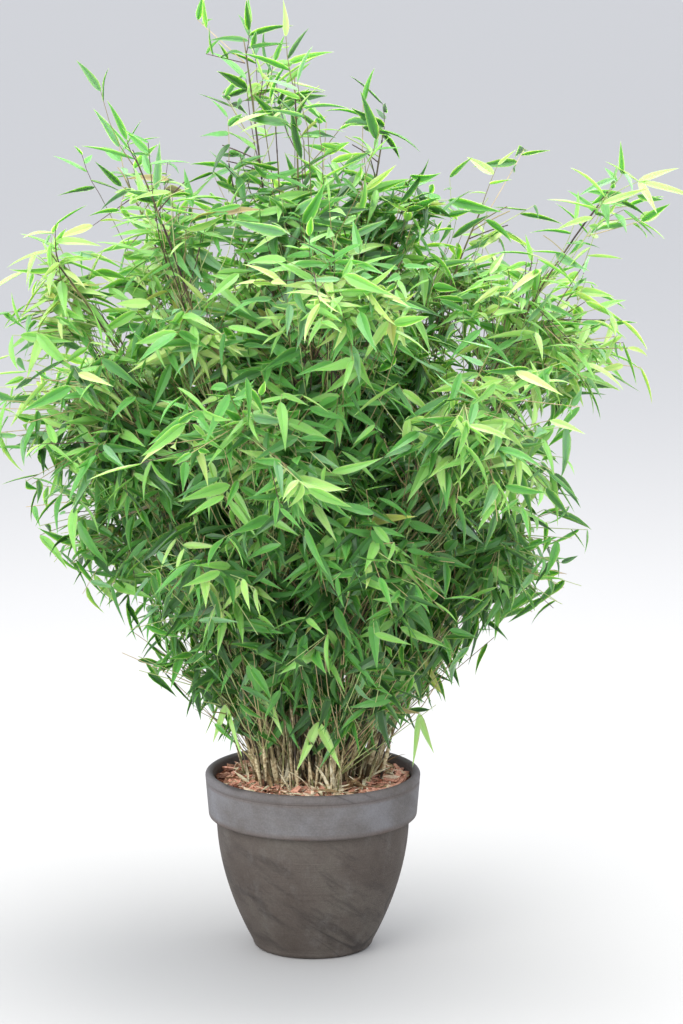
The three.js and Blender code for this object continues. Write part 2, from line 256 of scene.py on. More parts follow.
def noise(tree, scale, detail=3, roughness=0.55, stretch=(1, 1, 1), turn=(0, 0, 0)):
    """Cloudy values from 0 to 1, so many to the metre, on coordinates that are turned and then stretched"""
    place = node(tree, "TexCoord").outputs["Object"]
    mapping = node(tree, "Mapping", Scale=[1 / share for share in stretch],
                   Rotation=[math.radians(a) for a in turn], Vector=place)
    mapping.vector_type = "TEXTURE"
    cloud = node(tree, "TexNoise", Scale=scale, Detail=detail, Roughness=roughness,
                 Vector=mapping.outputs["Vector"])
    return cloud.outputs["Fac"]


def ramp(tree, value, *stops):
    """Colours or greys along a value, each stop its place and then a grey, or a red, green and blue"""
    band = node(tree, "ValToRGB", Fac=value)
    elements = band.color_ramp.elements
    while len(elements) < len(stops):
        elements.new(0.5)
    for element, (at, *tone) in zip(elements, stops):
        element.position = at
        element.color = colour(*tone) if len(tone) == 3 else (*tone * 3, 1)
    return band.outputs["Color"]


def mixed(tree, share, first, second, kind="MIX"):
    """Two colours mixed by a share, either of them plain or linked"""
    mix = node(tree, "Mix")
    mix.data_type = "RGBA"
    mix.blend_type = kind
    for socket, value in ((0, share), (6, first), (7, second)):
        put(tree, mix.inputs[socket], value)
    return mix.outputs[2]


def height_share(tree, low, high):
    """0 below one height and 1 above another, in millimetres"""
    parts = node(tree, "SeparateXYZ", Vector=node(tree, "TexCoord").outputs["Object"])
    share = node(tree, "MapRange", From_Min=low * MM, From_Max=high * MM, Value=parts.outputs["Z"])
    return share.outputs["Result"]


def bump(tree, shader, value, depth, before=None):
    """Relief of a given depth in millimetres"""
    relief = node(tree, "Bump", Distance=depth * MM, Strength=1, Height=value)
    if before is not None:
        tree.links.new(before, relief.inputs["Normal"])
    tree.links.new(relief.outputs["Normal"], shader.inputs["Normal"])
    return relief.outputs["Normal"]


def clay():
    """Fired clay: brown-grey body, darker than the bluer rim partly by its own tone and partly by painted
    shade, dark slanting smears and scratches, brown rubbed edges at the rim's foot and top, and a brown
    line along the groove under the lip
    """
    material, tree, shader = new_material("fired_clay", (104, 97, 91), 0.74, 0.35)
    cloud = noise(tree, 11, 4, 0.62)
    # The body's tones are darker than the rim's: partly the clay's own tone, partly painted shade for the
    # body, which faces a little downward and takes less sky light
    body = ramp(tree, cloud, (0.3, 70, 61, 54), (0.5, 83, 75, 68), (0.72, 93, 87, 79))
    rim = ramp(tree, cloud, (0.3, 92, 86, 81), (0.48, 107, 104, 103), (0.7, 120, 119, 121))
    height = height_share(tree, 0, POT_HEIGHT)
    whole = mixed(tree, height_share(tree, BODY_HEIGHT - 3, BODY_HEIGHT + 1), body, rim)
    # Brown bands by height: the rubbed edge at the rim's foot, a brown line along the groove under the lip,
    # and the rubbed top edge
    brown = mixed(tree, 1, ramp(tree, height, (0.735, 0), (0.745, 1), (0.76, 0.8), (0.785, 0), (0.93, 0),
                                (0.94, 0.55), (0.955, 0.55), (0.965, 0.2), (1, 0.5)),
                  ramp(tree, noise(tree, 22, 3), (0.3, 0.25), (0.6, 0.85)), "MULTIPLY")
    brown_banded = mixed(tree, brown, whole, colour(88, 72, 62))
    smear = noise(tree, 7, 5, 0.7, (1, 1, 5), (0, 36, 20))
    smear_share = mixed(tree, 1, ramp(tree, smear, (0.36, 0.75), (0.5, 0)),
                        ramp(tree, height, (0.7, 1), (0.78, 0.3)), "MULTIPLY")
    smeared = mixed(tree, smear_share, brown_banded, colour(56, 50, 46))
    bloom = noise(tree, 14, 4, 0.7, (2.5, 2.5, 1))
    bloomed = mixed(tree, ramp(tree, bloom, (0.54, 0), (0.78, 0.25)), smeared, colour(126, 124, 120))
    path = noise(tree, 2.6, 1, 0.4, (1, 1, 3), (0, 40, 0))
    line = ramp(tree, path, (0.475, 0), (0.482, 0.8), (0.489, 0), (0.54, 0), (0.544, 0.6), (0.548, 0))
    kept = ramp(tree, noise(tree, 8, 2), (0.46, 0), (0.56, 1))
    scratched = mixed(tree, mixed(tree, 1, line, kept, "MULTIPLY"), bloomed, colour(44, 40, 38))
    speckle = ramp(tree, noise(tree, 420, 2), (0.35, 0.88), (0.7, 1.07))
    tree.links.new(mixed(tree, 1, scratched, speckle, "MULTIPLY"), shader.inputs["Base Color"])
    marks = bump(tree, shader, noise(tree, 5, 2, stretch=(1, 1, 60)), 0.6)
    bump(tree, shader, noise(tree, 900, 3), 0.35, marks)
    return material


def mulch():
    """Damp crumbs between the chips"""
    material, tree, shader = new_material("bark_crumbs", (84, 52, 38), 0.95, 0.2)
    crumbs = noise(tree, 160, 4, 0.7)
    tone = ramp(tree, crumbs, (0.35, 70, 42, 32), (0.52, 140, 88, 66), (0.7, 190, 132, 104))
    tree.links.new(tone, shader.inputs["Base Color"])
    bump(tree, shader, noise(tree, 300, 4, 0.7), 2.5)
    return material


def wood(name, tone, dark):
    """A chip, straw or sheath of one colour with a faint grain"""
    material, tree, shader = new_material(name, tone, 0.85, 0.25)
    grain = ramp(tree, noise(tree, 240, 3), (0.35, *dark), (0.6, *tone))
    tree.links.new(grain, shader.inputs["Base Color"])
    bump(tree, shader, noise(tree, 700, 2), 0.3)
    return material


def cane_skin():
    """Canes: straw and tan at the foot, olive further up, and purple-brown where they thin out"""
    material, tree, shader = new_material("cane_skin", (110, 98, 60), 0.45, 0.45)
    cloud = noise(tree, 26, 3, stretch=(1, 1, 0.35))
    foot = ramp(tree, cloud, (0.4, 38, 29, 21), (0.53, 84, 71, 47), (0.67, 174, 160, 118))
    middle = ramp(tree, cloud, (0.35, 88, 80, 50), (0.6, 130, 132, 78))
    top = ramp(tree, cloud, (0.4, 62, 42, 42), (0.62, 118, 112, 66))
    lower = mixed(tree, height_share(tree, 300, 480), foot, middle)
    tree.links.new(mixed(tree, height_share(tree, 520, 860), lower, top), shader.inputs["Base Color"])
    bump(tree, shader, noise(tree, 160, 2, stretch=(6, 6, 0.5)), 0.15)
    return material


def young_skin():
    """Young canes: green-brown from the foot up"""
    material, tree, shader = new_material("young_cane", (118, 122, 70), 0.45, 0.45)
    cloud = noise(tree, 22, 3, stretch=(1, 1, 0.35))
    green = ramp(tree, cloud, (0.36, 66, 62, 40), (0.52, 118, 122, 74), (0.68, 182, 180, 128))
    tree.links.new(green, shader.inputs["Base Color"])
    bump(tree, shader, noise(tree, 160, 2, stretch=(6, 6, 0.5)), 0.15)
    return material


def twig_bark(name, tone):
    """Thin twigs of one colour"""
    material, tree, shader = new_material(name, tone, 0.5, 0.4)
    bump(tree, shader, noise(tree, 500, 2), 0.1)
    return material


def leaf_green(name, tone):
    """A leaf of one base colour, with a satin face and a faint relief"""
    material, tree, shader = new_material(name, tone, 0.42, 0.38)
    shader.inputs["Subsurface Weight"].default_value = 0.7
    shader.inputs["Subsurface Radius"].default_value = (0.7, 1, 0.25)
    shader.inputs["Subsurface Scale"].default_value = 0.0012
    bump(tree, shader, noise(tree, 380, 2), 0.12)
    return material


# Meshes made with operators


def deselect():
    bpy.ops.object.select_all(action="DESELECT")


def focus(form):
    """Selects one form only"""
    deselect()
    form.select_set(True)
    bpy.context.view_layer.objects.active = form


def mode(kind):
    bpy.ops.object.mode_set(mode=kind)


def edit(kind="VERT"):
    mode("EDIT")
    bpy.ops.mesh.select_mode(type=kind)


def select_all():
    bpy.ops.mesh.select_all(action="SELECT")


def settle():
    """Back to object mode, with the form's place in its mesh"""
    if bpy.context.object.mode != "OBJECT":
        mode("OBJECT")
    bpy.ops.object.transform_apply(location=True, rotation=True, scale=True)
    return bpy.context.object


def select_where(form, test, faces=False):
    """In edit mode, selects the corners or faces of the form whose place passes the test"""
    bpy.ops.mesh.select_all(action="DESELECT")
    mode("OBJECT")
    for item in form.data.polygons if faces else form.data.vertices:
        item.select = bool(test(item.center if faces else item.co))
    mode("EDIT")


def modified(form, name, kind, **settings):
    """Adds a modifier to the form and applies it"""
    modifier = form.modifiers.new(name, kind)
    for key, value in settings.items():
        setattr(modifier, key, value)
    focus(form)
    bpy.ops.object.modifier_apply(modifier=name)


def turned(name, outline, sides):
    """A closed round form: a ring of edges, extruded and widened from point to point of an outline"""
    deselect()
    radius, height = outline[0]
    bpy.ops.mesh.primitive_circle_add(vertices=sides, radius=radius * MM, location=(0, 0, height * MM))
    form = settle()
    form.name = name
    edit("EDGE")
    select_all()
    for next_radius, next_height in outline[1:]:
        rise = (next_height - height) * MM
        bpy.ops.mesh.extrude_edges_move(TRANSFORM_OT_translate={"value": (0, 0, rise)})
        widen = next_radius / radius
        bpy.ops.transform.resize(value=(widen, widen, 1), center_override=(0, 0, next_height * MM))
        radius, height = next_radius, next_height
    select_all()
    bpy.ops.mesh.fill_holes(sides=0)
    bpy.ops.mesh.normals_make_consistent(inside=False)
    return settle()


def arc(radius, height, rounding, start, end, steps=5):
    """Points of an outline on an arc, by degrees from outwards to upwards"""
    angles = [math.radians(start + (end - start) * i / steps) for i in range(steps + 1)]
    return [(radius + rounding * math.cos(a), height + rounding * math.sin(a)) for a in angles]


def smooth_by_angle(form, degrees):
    focus(form)
    bpy.ops.object.shade_smooth_by_angle(angle=math.radians(degrees))


def body_radius(height):
    share = max(0, 1 - height / BODY_HEIGHT)
    return BODY_TOP_RADIUS - (BODY_TOP_RADIUS - FOOT_RADIUS) * share ** BODY_BULGE


def pot():
    rise = BODY_HEIGHT - 2 - FOOT_ROUNDING
    heights = [FOOT_ROUNDING + rise * i / BODY_STEPS for i in range(BODY_STEPS + 1)]
    body = [(body_radius(z), z) for z in heights]
    foot = arc(body_radius(FOOT_ROUNDING) - FOOT_ROUNDING, FOOT_ROUNDING, FOOT_ROUNDING, -90, -10)
    rim_foot = arc(RIM_FOOT_RADIUS - RIM_ROUNDING, BODY_HEIGHT + RIM_ROUNDING, RIM_ROUNDING, -90, 0)
    lip = RIM_LIP / 2
    rim_top = arc(RIM_RADIUS - lip, POT_HEIGHT - lip, lip, -4, 184, 12)
    inside = [(RIM_RADIUS - RIM_LIP - 1, POT_HEIGHT - 16)]
    inside += [(body_radius(z) - WALL, z) for z in INSIDE_HEIGHTS]
    groove = [(RIM_RADIUS - 0.8, GROOVE_HEIGHT - 2.4), (RIM_RADIUS - 0.8 - GROOVE_DEPTH, GROOVE_HEIGHT),
              (RIM_RADIUS - 0.5, GROOVE_HEIGHT + 2)]
    outline = [*foot, *body, *rim_foot, *groove, *rim_top, *inside]
    form = turned("clay_pot", outline, POT_SIDES)
    for i in range(DRAINS):
        at = level_at(2 * math.pi * (i + 0.5) / DRAINS) * DRAIN_CIRCLE * MM
        deselect()
        bpy.ops.mesh.primitive_cylinder_add(radius=DRAIN_RADIUS * MM, depth=4 * FLOOR * MM, location=at)
        drill = settle()
        modified(form, "drain", "BOOLEAN", object=drill, operation="DIFFERENCE")
        bpy.data.objects.remove(drill)
    smooth_by_angle(form, 35)
    form.data.materials.append(clay())
    return form


def mulch_height(reach):
    """The heaped mulch falls off towards the wall of the pot"""
    return MULCH_LEVEL - MULCH_CROWN * (reach / MULCH_RADIUS) ** 4


def crumb_bed():
    """The mulch's surface: rings from the wall in to the middle, roughened by a cloudy displacement"""
    rings = [(MULCH_RADIUS * i / 30, mulch_height(MULCH_RADIUS * i / 30)) for i in range(30, 0, -1)]
    form = turned("mulch_bed", [(MULCH_RADIUS - 14, MULCH_LEVEL - 75), *rings], 120)
    cloud = bpy.data.textures.new("crumbs", "CLOUDS")
    cloud.noise_scale = 0.011
    cloud.noise_depth = 3
    modified(form, "rough", "DISPLACE", texture=cloud, direction="Z", mid_level=0.5,
             strength=MULCH_ROUGHNESS * MM)
    smooth_by_angle(form, 60)
    form.data.materials.append(mulch())
    return form


def blank_of(form):
    """The corners and faces of a form that is copied many times, which is then removed"""
    mesh = form.data
    corners = np.array([c.co[:] for c in mesh.vertices])
    sizes = np.array([len(face.vertices) for face in mesh.polygons])
    loops = np.concatenate([list(face.vertices) for face in mesh.polygons])
    bpy.data.objects.remove(form)
    return SimpleNamespace(corners=corners, sizes=sizes, loops=loops)


def joined(name, blank, points, materials, tints=None, smooth=50):
    """One mesh of many copies of a blank. points holds each copy's corners in millimetres."""
    copies, count = points.shape[:2]
    mesh = bpy.data.meshes.new(name)
    mesh.vertices.add(copies * count)
    mesh.vertices.foreach_set("co", (points * MM).astype(np.float32).ravel())
    shift = np.arange(copies)[:, None] * count
    mesh.loops.add(copies * len(blank.loops))
    mesh.loops.foreach_set("vertex_index", (blank.loops[None, :] + shift).astype(np.int32).ravel())
    sizes = np.tile(blank.sizes, copies)
    mesh.polygons.add(len(sizes))
    starts = np.concatenate(([0], np.cumsum(sizes)[:-1])).astype(np.int32)
    mesh.polygons.foreach_set("loop_start", starts)
    if tints is not None:
        mesh.polygons.foreach_set("material_index", np.repeat(tints, len(blank.sizes)).astype(np.int32))
    for material in materials:
        mesh.materials.append(material)
    mesh.update(calc_edges=True)
    mesh.validate()
    form = bpy.data.objects.new(name, mesh)
    bpy.context.scene.collection.objects.link(form)
    smooth_by_angle(form, smooth)
    return form


def leaf_blank():
    """One blade, 1 long along Y and 1 wide: a closed strip, shaped row by row and folded on its midrib"""
    deselect()
    strips = len(BLADE_ROWS) - 1
    bpy.ops.mesh.primitive_grid_add(x_subdivisions=2, y_subdivisions=strips, size=1, location=(0, 0.5, 0))
    blade = settle()
    edit()
    for i, (along, wide) in enumerate(BLADE_ROWS):
        even = i / strips
        select_where(blade, lambda at: abs(at.y - even) < 0.01)
        bpy.ops.transform.resize(value=(max(wide, 1e-6), 1, 1), center_override=(0, even, 0))
        bpy.ops.transform.translate(value=(0, along - even, 0))
        select_where(blade, lambda at: abs(at.x) < 1e-7 and abs(at.y - along) < 0.01 and wide > 0)
        bpy.ops.transform.translate(value=(0, 0, -BLADE_FOLD * wide))
    select_all()
    bpy.ops.mesh.remove_doubles(threshold=1e-4)
    select_all()
    bpy.ops.mesh.duplicate()
    bpy.ops.mesh.flip_normals()
    bpy.ops.transform.translate(value=(0, 0, -BLADE_THICKNESS))
    select_where(blade, lambda at: abs(at.z + BLADE_THICKNESS) < 1e-4)
    bpy.ops.transform.translate(value=(0, 0, BLADE_THICKNESS))
    select_all()
    bpy.ops.mesh.remove_doubles(threshold=1e-4)
    bpy.ops.mesh.fill_holes(sides=0)
    return blank_of(settle())


def stick_blank(name, sides, rings, joints=()):
    """A round stick, 1 high and 1 in radius, extruded ring by ring, with a swelling at each joint"""
    outline = [(1, i / rings) for i in range(rings + 1)]
    for joint in joints:
        outline += [(1, joint - 0.006), (1.3, joint), (0.97, joint + 0.005)]
    outline.sort(key=lambda point: point[1])
    return blank_of(turned(name, [(radius / MM, height / MM) for radius, height in outline], sides))


def chip_blank():
    """A splinter of bark, 1 long: a block with torn, thinned ends"""
    deselect()
    bpy.ops.mesh.primitive_cube_add(size=1, scale=(1, 0.42, 0.13))
    chip = settle()
    edit()
    select_all()
    bpy.ops.mesh.subdivide(number_cuts=1)
    select_where(chip, lambda at: at.x > 0.4)
    bpy.ops.transform.resize(value=(1, 0.45, 0.5), center_override=(0.5, 0.06, 0))
    select_where(chip, lambda at: at.x < -0.4)
    bpy.ops.transform.resize(value=(1, 0.6, 0.4), center_override=(-0.5, -0.08, 0.02))
    select_where(chip, lambda at: at.x > 0.4 and at.y > 0)
    bpy.ops.transform.translate(value=(-0.14, 0, 0.03))
    select_where(chip, lambda at: abs(at.x) < 0.1 and at.y > 0.1)
    bpy.ops.transform.translate(value=(0.05, 0.06, -0.02))
    return blank_of(settle())


def sheath_blank():
    """A papery sheath, 1 high, that clasps a cane of radius 1 at its foot and opens upwards to a point"""
    deselect()
    bpy.ops.mesh.primitive_cylinder_add(vertices=10, radius=1.15, depth=1, end_fill_type="NOTHING",
                                        location=(0, 0, 0.5))
    sheath = settle()
    edit("FACE")
    select_where(sheath, lambda at: at.y < -0.75, faces=True)
    bpy.ops.mesh.delete(type="FACE")
    bpy.ops.mesh.select_mode(type="VERT")
    select_all()
    bpy.ops.mesh.bisect(plane_co=(0, 0, 0.55), plane_no=(0, 0, 1))
    select_where(sheath, lambda at: at.z > 0.9)
    bpy.ops.transform.resize(value=(0.3, 1, 1), center_override=(0, 1.6, 1))
    select_where(sheath, lambda at: 0.4 < at.z < 0.7)
    bpy.ops.transform.resize(value=(1.25, 1.25, 1), center_override=(0, 0, 0.55))
    settle()
    modified(sheath, "thick", "SOLIDIFY", thickness=0.12)
    return blank_of(sheath)


# The source's rule for canes, twigs and leaves


def draw(*keys):
    """A number from 0 to 1 that depends only on its keys"""
    mix = 2166136261
    for key in keys:
        mix = ((mix ^ key) * 16777619) & 0xFFFFFFFF
        mix = ((mix ^ (mix >> 15)) * 2246822519) & 0xFFFFFFFF
    return (mix ^ (mix >> 13)) / 4294967296


def between(low, high, *keys):
    return low + (high - low) * draw(*keys)


def unit(vector):
    return vector / np.linalg.norm(vector, axis=-1, keepdims=True)


def level_at(angle):
    """The level direction at an angle in radians"""
    return np.array((math.cos(angle), math.sin(angle), 0))


def level_part(vector):
    """The level direction nearest to a vector"""
    return unit(vector * np.array((1, 1, 0)))


def raised(level, degrees):
    """A level direction raised by an angle"""
    pitch = math.radians(degrees)
    return level * math.cos(pitch) + UP * math.sin(pitch)


def reach_of(point):
    """How far a point is from the middle, as seen from above"""
    return math.hypot(*point[:2])


def turned_about(vector, axis, degrees):
    angle = math.radians(degrees)
    return (vector * math.cos(angle) + np.cross(axis, vector) * math.sin(angle)
            + axis * np.dot(axis, vector) * (1 - math.cos(angle)))


def tips_of(tier, t):
    if "tips" in tier:
        return tier["tips"]
    tips = []
    for i in range(tier["canes"]):
        if i in tier.get("empty", ()):
            continue
        key = t * 16 + i
        around = math.radians(tier["turn"] + 360 * (i + between(-0.1, 0.1, key, 1)) / tier["canes"])
        reach = tier["tip_ring"] * between(0.92, 1.08, key, 2)
        height = tier["tip_height"] * between(0.965, 1.035, key, 3)
        tips.append((reach * math.cos(around), reach * math.sin(around), height))
    return tips


def cane_plan(tier, t, tip, index):
    """A cane's path, and the stem on which its foliage starts"""
    key = t * 16 + index
    around = math.atan2(tip[1], tip[0]) + between(-0.12, 0.12, key, 4)
    foot_ring = tier.get("foot_ring") or tier["foot_share"] * reach_of(tip)
    foot = foot_ring * between(0.9, 1.1, key, 5) * level_at(around) + UP * (SOIL_LEVEL + CANE_OVER_SOIL)
    end = np.array(tip, float)
    path = (foot, early_knee(foot, end), end)
    outward = level_part(end - foot)
    start = tier["foliage_from"]
    shares = [start + (1 - start) * i / STEM_STEPS for i in range(STEM_STEPS + 1)]
    return SimpleNamespace(
        key=key, tier=tier, name=f"{tier['name']}_{index + 1}", path=path, outward=outward,
        side=np.cross(UP, outward), twist=between(0, 360, key, 6),
        stem=np.array([path_point(path, share) for share in shares]))


def early_knee(foot, end):
    """The knee of a cane that rises before it leans out"""
    knee = foot + (end - foot) * CANE_SPREAD_EARLY
    knee[2] = foot[2] + (end[2] - foot[2]) * CANE_RISE_EARLY
    return knee


def path_point(path, share):
    foot, knee, end = path[:3]
    return (1 - share) ** 2 * foot + 2 * share * (1 - share) * knee + share ** 2 * end


def path_ahead(path, share):
    """The direction of a path, not of unit length"""
    foot, knee, end = path[:3]
    return 2 * (1 - share) * (knee - foot) + 2 * share * (end - knee)


def stem_radius(plan, place):
    start = CANE_FOOT_RADIUS + (CANE_TIP_RADIUS - CANE_FOOT_RADIUS) * plan.tier["foliage_from"]
    return start + (STEM_TIP_RADIUS - start) * place


def stem_point(plan, place):
    step = min(int(place * STEM_STEPS), STEM_STEPS - 1)
    return plan.stem[step] + (plan.stem[step + 1] - plan.stem[step]) * (place * STEM_STEPS - step)


plans = [cane_plan(tier, t, tip, index) for t, tier in enumerate(TIERS)
         for index, tip in enumerate(tips_of(tier, t))]
stem_starts = np.array([plan.stem[:-1] for plan in plans])
stem_steps = np.array([plan.stem[1:] - plan.stem[:-1] for plan in plans])


def in_own_space(points, plan):
    """True if all the points lie nearer to the plan's own stem than to any other, and outside the pot"""
    offset = points[:, None, None, :] - stem_starts
    along = np.clip((offset * stem_steps).sum(-1) / (stem_steps ** 2).sum(-1), 0, 1)
    distance = np.linalg.norm(offset - stem_steps * along[..., None], axis=-1).min(-1)
    own = plans.index(plan)
    others = np.delete(distance, own, axis=1).min(1)
    in_pot = (np.hypot(points[:, 0], points[:, 1]) < RIM_RADIUS + 2) & (points[:, 2] < POT_HEIGHT + 2)
    return bool((others > distance[:, own] + SPACE_MARGIN).all() and not in_pot.any())


def leaf_plan(plan, root, along, turn, *keys):
    tier, key = plan.tier, plan.key
    swing = turn + between(-LEAF_SWING, LEAF_SWING, key, *keys, 12)
    lift = TIP_LIFT if keys[0] == 0 else 0
    pitch = tier["pitch"] + lift + between(-LEAF_PITCH_SPREAD, LEAF_PITCH_SPREAD, key, *keys, 13)
    level = turned_about(level_part(along), UP, swing)
    heading = raised(level, pitch)
    across = turned_about(np.cross(UP, level), heading, between(-LEAF_ROLL, LEAF_ROLL, key, *keys, 14))
    return SimpleNamespace(
        root=root, heading=heading, across=across,
        length=tier["leaf_length"] * between(*LEAF_STRETCH, key, *keys, 15),
        droop=between(*LEAF_DROOP, key, *keys, 16))


def fit_leaf(plan, leaf):
    """The leaf at the longest of its lengths that stays in its own space, or None"""
    for share in LEAF_LENGTHS:
        length = leaf.length * share
        tip = leaf.root + leaf.heading * length - UP * leaf.droop * length
        if in_own_space(leaf.root + (tip - leaf.root) * np.array([[0.25], [0.5], [0.75], [1]]), plan):
            leaf.length = length
            return leaf
    return None


def spray_of(plan, index):
    """The twig of one spray, and the leaves that fit on it"""
    tier, key = plan.tier, plan.key
    at_tip = index == 0
    place = 1 if at_tip else 0.04 + 0.88 * ((draw(key, 17) + GOLDEN_SHARE * index) % 1)
    around = math.radians(plan.twist + GOLDEN_TURN * index)
    radial = plan.outward * math.cos(around) + plan.side * math.sin(around)
    lean = math.radians(TIP_LEAN if at_tip else between(*TWIG_LEAN, key, index, 8))
    start = tier["foliage_from"]
    tangent = unit(path_ahead(plan.path, start + (1 - start) * place))
    ahead = unit(tangent * math.cos(lean) + radial * math.sin(lean))
    length = tier["twig_length"] * (TIP_TWIG if at_tip else between(*TWIG_STRETCH, key, index, 9))
    root = stem_point(plan, place)
    end = root + ahead * length
    leaves = [fit_leaf(plan, leaf_plan(plan, end, ahead, 0, index, 0))]
    for i, share in enumerate(SIDE_PLACES):
        turn = -SIDE_TURN if i % 2 else SIDE_TURN
        for attempt in range(SIDE_TRIES):
            side_root = root + (end - root) * share
            leaf = fit_leaf(plan, leaf_plan(plan, side_root, ahead, turn, index, 1 + i, attempt))
            if leaf:
                leaves.append(leaf)
                break
    leaves = [leaf for leaf in leaves if leaf]
    return SimpleNamespace(root=root, end=end, ahead=ahead, place=place, leaves=leaves)


def sprays_of(plan):
    """Sprays in turn until the mass has its number of leaf places"""
    found = []
    for index in range(TWIG_TRIES):
        if sum(len(spray.leaves) for spray in found) >= plan.tier["leaves"] * FULLER:
            break
        spray = spray_of(plan, index)
        if len(spray.leaves) >= LEAVES_ON_TWIG:
            found.append(spray)
    return found


# Many copies, bent and placed


def columns(rows):
    """Each column of the rows as an array: a row by a corner by an axis"""
    return [np.array(column, float).reshape(len(rows), 1, -1) for column in zip(*rows)]


def axes(blank):
    """The corners' X, Y and Z in the same shape"""
    return [blank.corners[None, :, i, None] for i in range(3)]


def bent_sticks(blank, paths):
    """Each copy of a stick bent along a path: foot, knee, end, side, foot radius and end radius"""
    *path, side, thick, thin = columns(paths)
    x, y, share = axes(blank)
    ahead = unit(path_ahead(path, share) + 1e-9)
    across = unit(np.cross(side, ahead))
    flank = np.cross(ahead, across)
    radius = thick + (thin - thick) * share
    return path_point(path, share) + across * x * radius + flank * y * radius


def bent_blades(blank, blades):
    """Each copy of a blade arched and twisted: root, heading, across, length, width, arch and twist"""
    root, heading, across, length, width, arch, twist = columns(blades)
    heading = unit(heading)
    across = unit(across - heading * (across * heading).sum(-1, keepdims=True))
    up = np.cross(heading, across)
    x, along, z = axes(blank)
    bend = arch * along + 1e-6
    ahead = length * along * np.sin(bend) / bend
    fall = length * along * (1 - np.cos(bend)) / bend
    normal = up * np.cos(bend) + heading * np.sin(bend)
    wide = across * np.cos(twist * along) + normal * np.sin(twist * along)
    face = normal * np.cos(twist * along) - across * np.sin(twist * along)
    return root + heading * ahead - up * fall + wide * x * width + face * z * width


def scattered(blank, spots):
    """Each copy of a chip laid down: centre, length, width, turn, tilt and roll"""
    centre, length, width, turn, tilt, roll = columns(spots)
    ahead = np.concatenate([np.cos(turn) * np.cos(tilt), np.sin(turn) * np.cos(tilt), np.sin(tilt)], -1)
    level = np.concatenate([-np.sin(turn), np.cos(turn), 0 * turn], -1)
    across = level * np.cos(roll) + np.cross(ahead, level) * np.sin(roll)
    face = np.cross(ahead, across)
    x, y, z = axes(blank)
    return centre + ahead * x * length + across * y * width + face * z * width


def chips():
    """Shredded bark in four tones over the whole bed: the bark's own hues, made lighter as painted light
    for the foliage's shade on the bed
    """
    spread = np.random.default_rng(11)
    spots, tints = [], []
    for _ in range(CHIPS):
        reach = (MULCH_RADIUS - 9) * math.sqrt(spread.uniform(0.02, 1))
        around = spread.uniform(0, 2 * math.pi)
        length = spread.uniform(*CHIP_LENGTH)
        centre = reach * level_at(around) + UP * (mulch_height(reach) + spread.uniform(-1, 5))
        spots.append((centre, length, length * spread.uniform(*CHIP_WIDTH_SHARE), spread.uniform(0, 6.28),
                      spread.normal(0, 0.28), spread.normal(0, 0.4)))
        tints.append(spread.choice(4, p=(0.38, 0.27, 0.13, 0.22)))
    # Each tone is the bark's own hue made lighter: painted light that makes up for the shade the foliage
    # casts on the mulch
    finishes = [
        wood("bark_red", (226, 170, 144), (184, 124, 98)),
        wood("bark_brown", (196, 150, 124), (148, 104, 80)),
        wood("bark_dark", (134, 94, 74), (90, 60, 46)),
        wood("bark_pale", (242, 222, 194), (214, 180, 146)),
    ]
    blank = chip_blank()
    return joined("bark_chips", blank, scattered(blank, spots), finishes, np.array(tints), smooth=30)


def straws(blank):
    """Dry blades and old sheaths, lying and standing among the feet of the canes"""
    spread = np.random.default_rng(12)
    blades, tints = [], []
    for _ in range(STRAWS):
        standing = spread.uniform() < STANDING_STRAWS
        reach = (98 if standing else 118) * math.sqrt(spread.uniform(0, 1))
        around = spread.uniform(0, 2 * math.pi)
        lean = spread.uniform(0.5, 1.35) if standing else abs(spread.normal(0, 0.14))
        heading = level_at(spread.uniform(0, 2 * math.pi)) * math.cos(lean) + UP * math.sin(lean)
        length = spread.uniform(*STRAW_LENGTH)
        start = reach * level_at(around) + UP * (MULCH_LEVEL + spread.uniform(0, 6))
        if reach_of(start + heading * length) > RIM_RADIUS - 16:
            continue
        across = unit(np.cross(UP, heading) + UP * spread.normal(0, 0.6))
        blades.append((start, heading, across, length, spread.uniform(*STRAW_WIDTH),
                       spread.uniform(-0.4, 0.9), spread.normal(0, 1.4)))
        tints.append(spread.choice(2, p=(0.6, 0.4)))
    finishes = [wood("straw_pale", (232, 224, 192), (186, 170, 128)),
                wood("straw_brown", (158, 134, 96), (112, 90, 62))]
    return joined("fallen_straw", blank, bent_blades(blank, blades), finishes, np.array(tints))


def companion_paths(plan, spread):
    """Slender canes that rise beside a main cane and stay near it"""
    paths = []
    for _ in range(COMPANIONS):
        around = spread.uniform(0, 2 * math.pi)
        foot = plan.path[0] + spread.uniform(*COMPANION_SHIFT) * level_at(around)
        foot[:2] *= min(1, COMPANION_FEET / reach_of(foot))
        foot[2] = SOIL_LEVEL - CANE_BURIED
        share = spread.uniform(*COMPANION_END)
        away = level_at(around + 0.8) + 0.2 * UP
        end = path_point(plan.path, share) + spread.uniform(*COMPANION_AWAY) * away
        knee = early_knee(foot, end) + spread.normal(0, 12, 3)
        slim = spread.uniform(*COMPANION_RADIUS)
        paths.append((foot, knee, end, plan.side, CANE_FOOT_RADIUS * slim, CANE_TIP_RADIUS * slim))
    return paths


def sheath_paths(paths, spread):
    """Papery sheaths that clasp the lower part of each cane"""
    clasps = []
    for path in paths:
        foot, _, end, _, thick, thin = path
        for i in range(SHEATHS_ON_CANE):
            low = spread.uniform(0.0, 0.09) + 0.12 * i
            span = spread.uniform(*SHEATH_LENGTH) / np.linalg.norm(end - foot)
            start, top = path_point(path, low), path_point(path, low + span)
            opening = unit(np.append(spread.normal(0, 1, 2), 0))
            radius = thick + (thin - thick) * low
            clasps.append((start, (start + top) / 2 + opening * 0.5, top, opening,
                           radius, radius * spread.uniform(0.95, 1.5)))
    return clasps


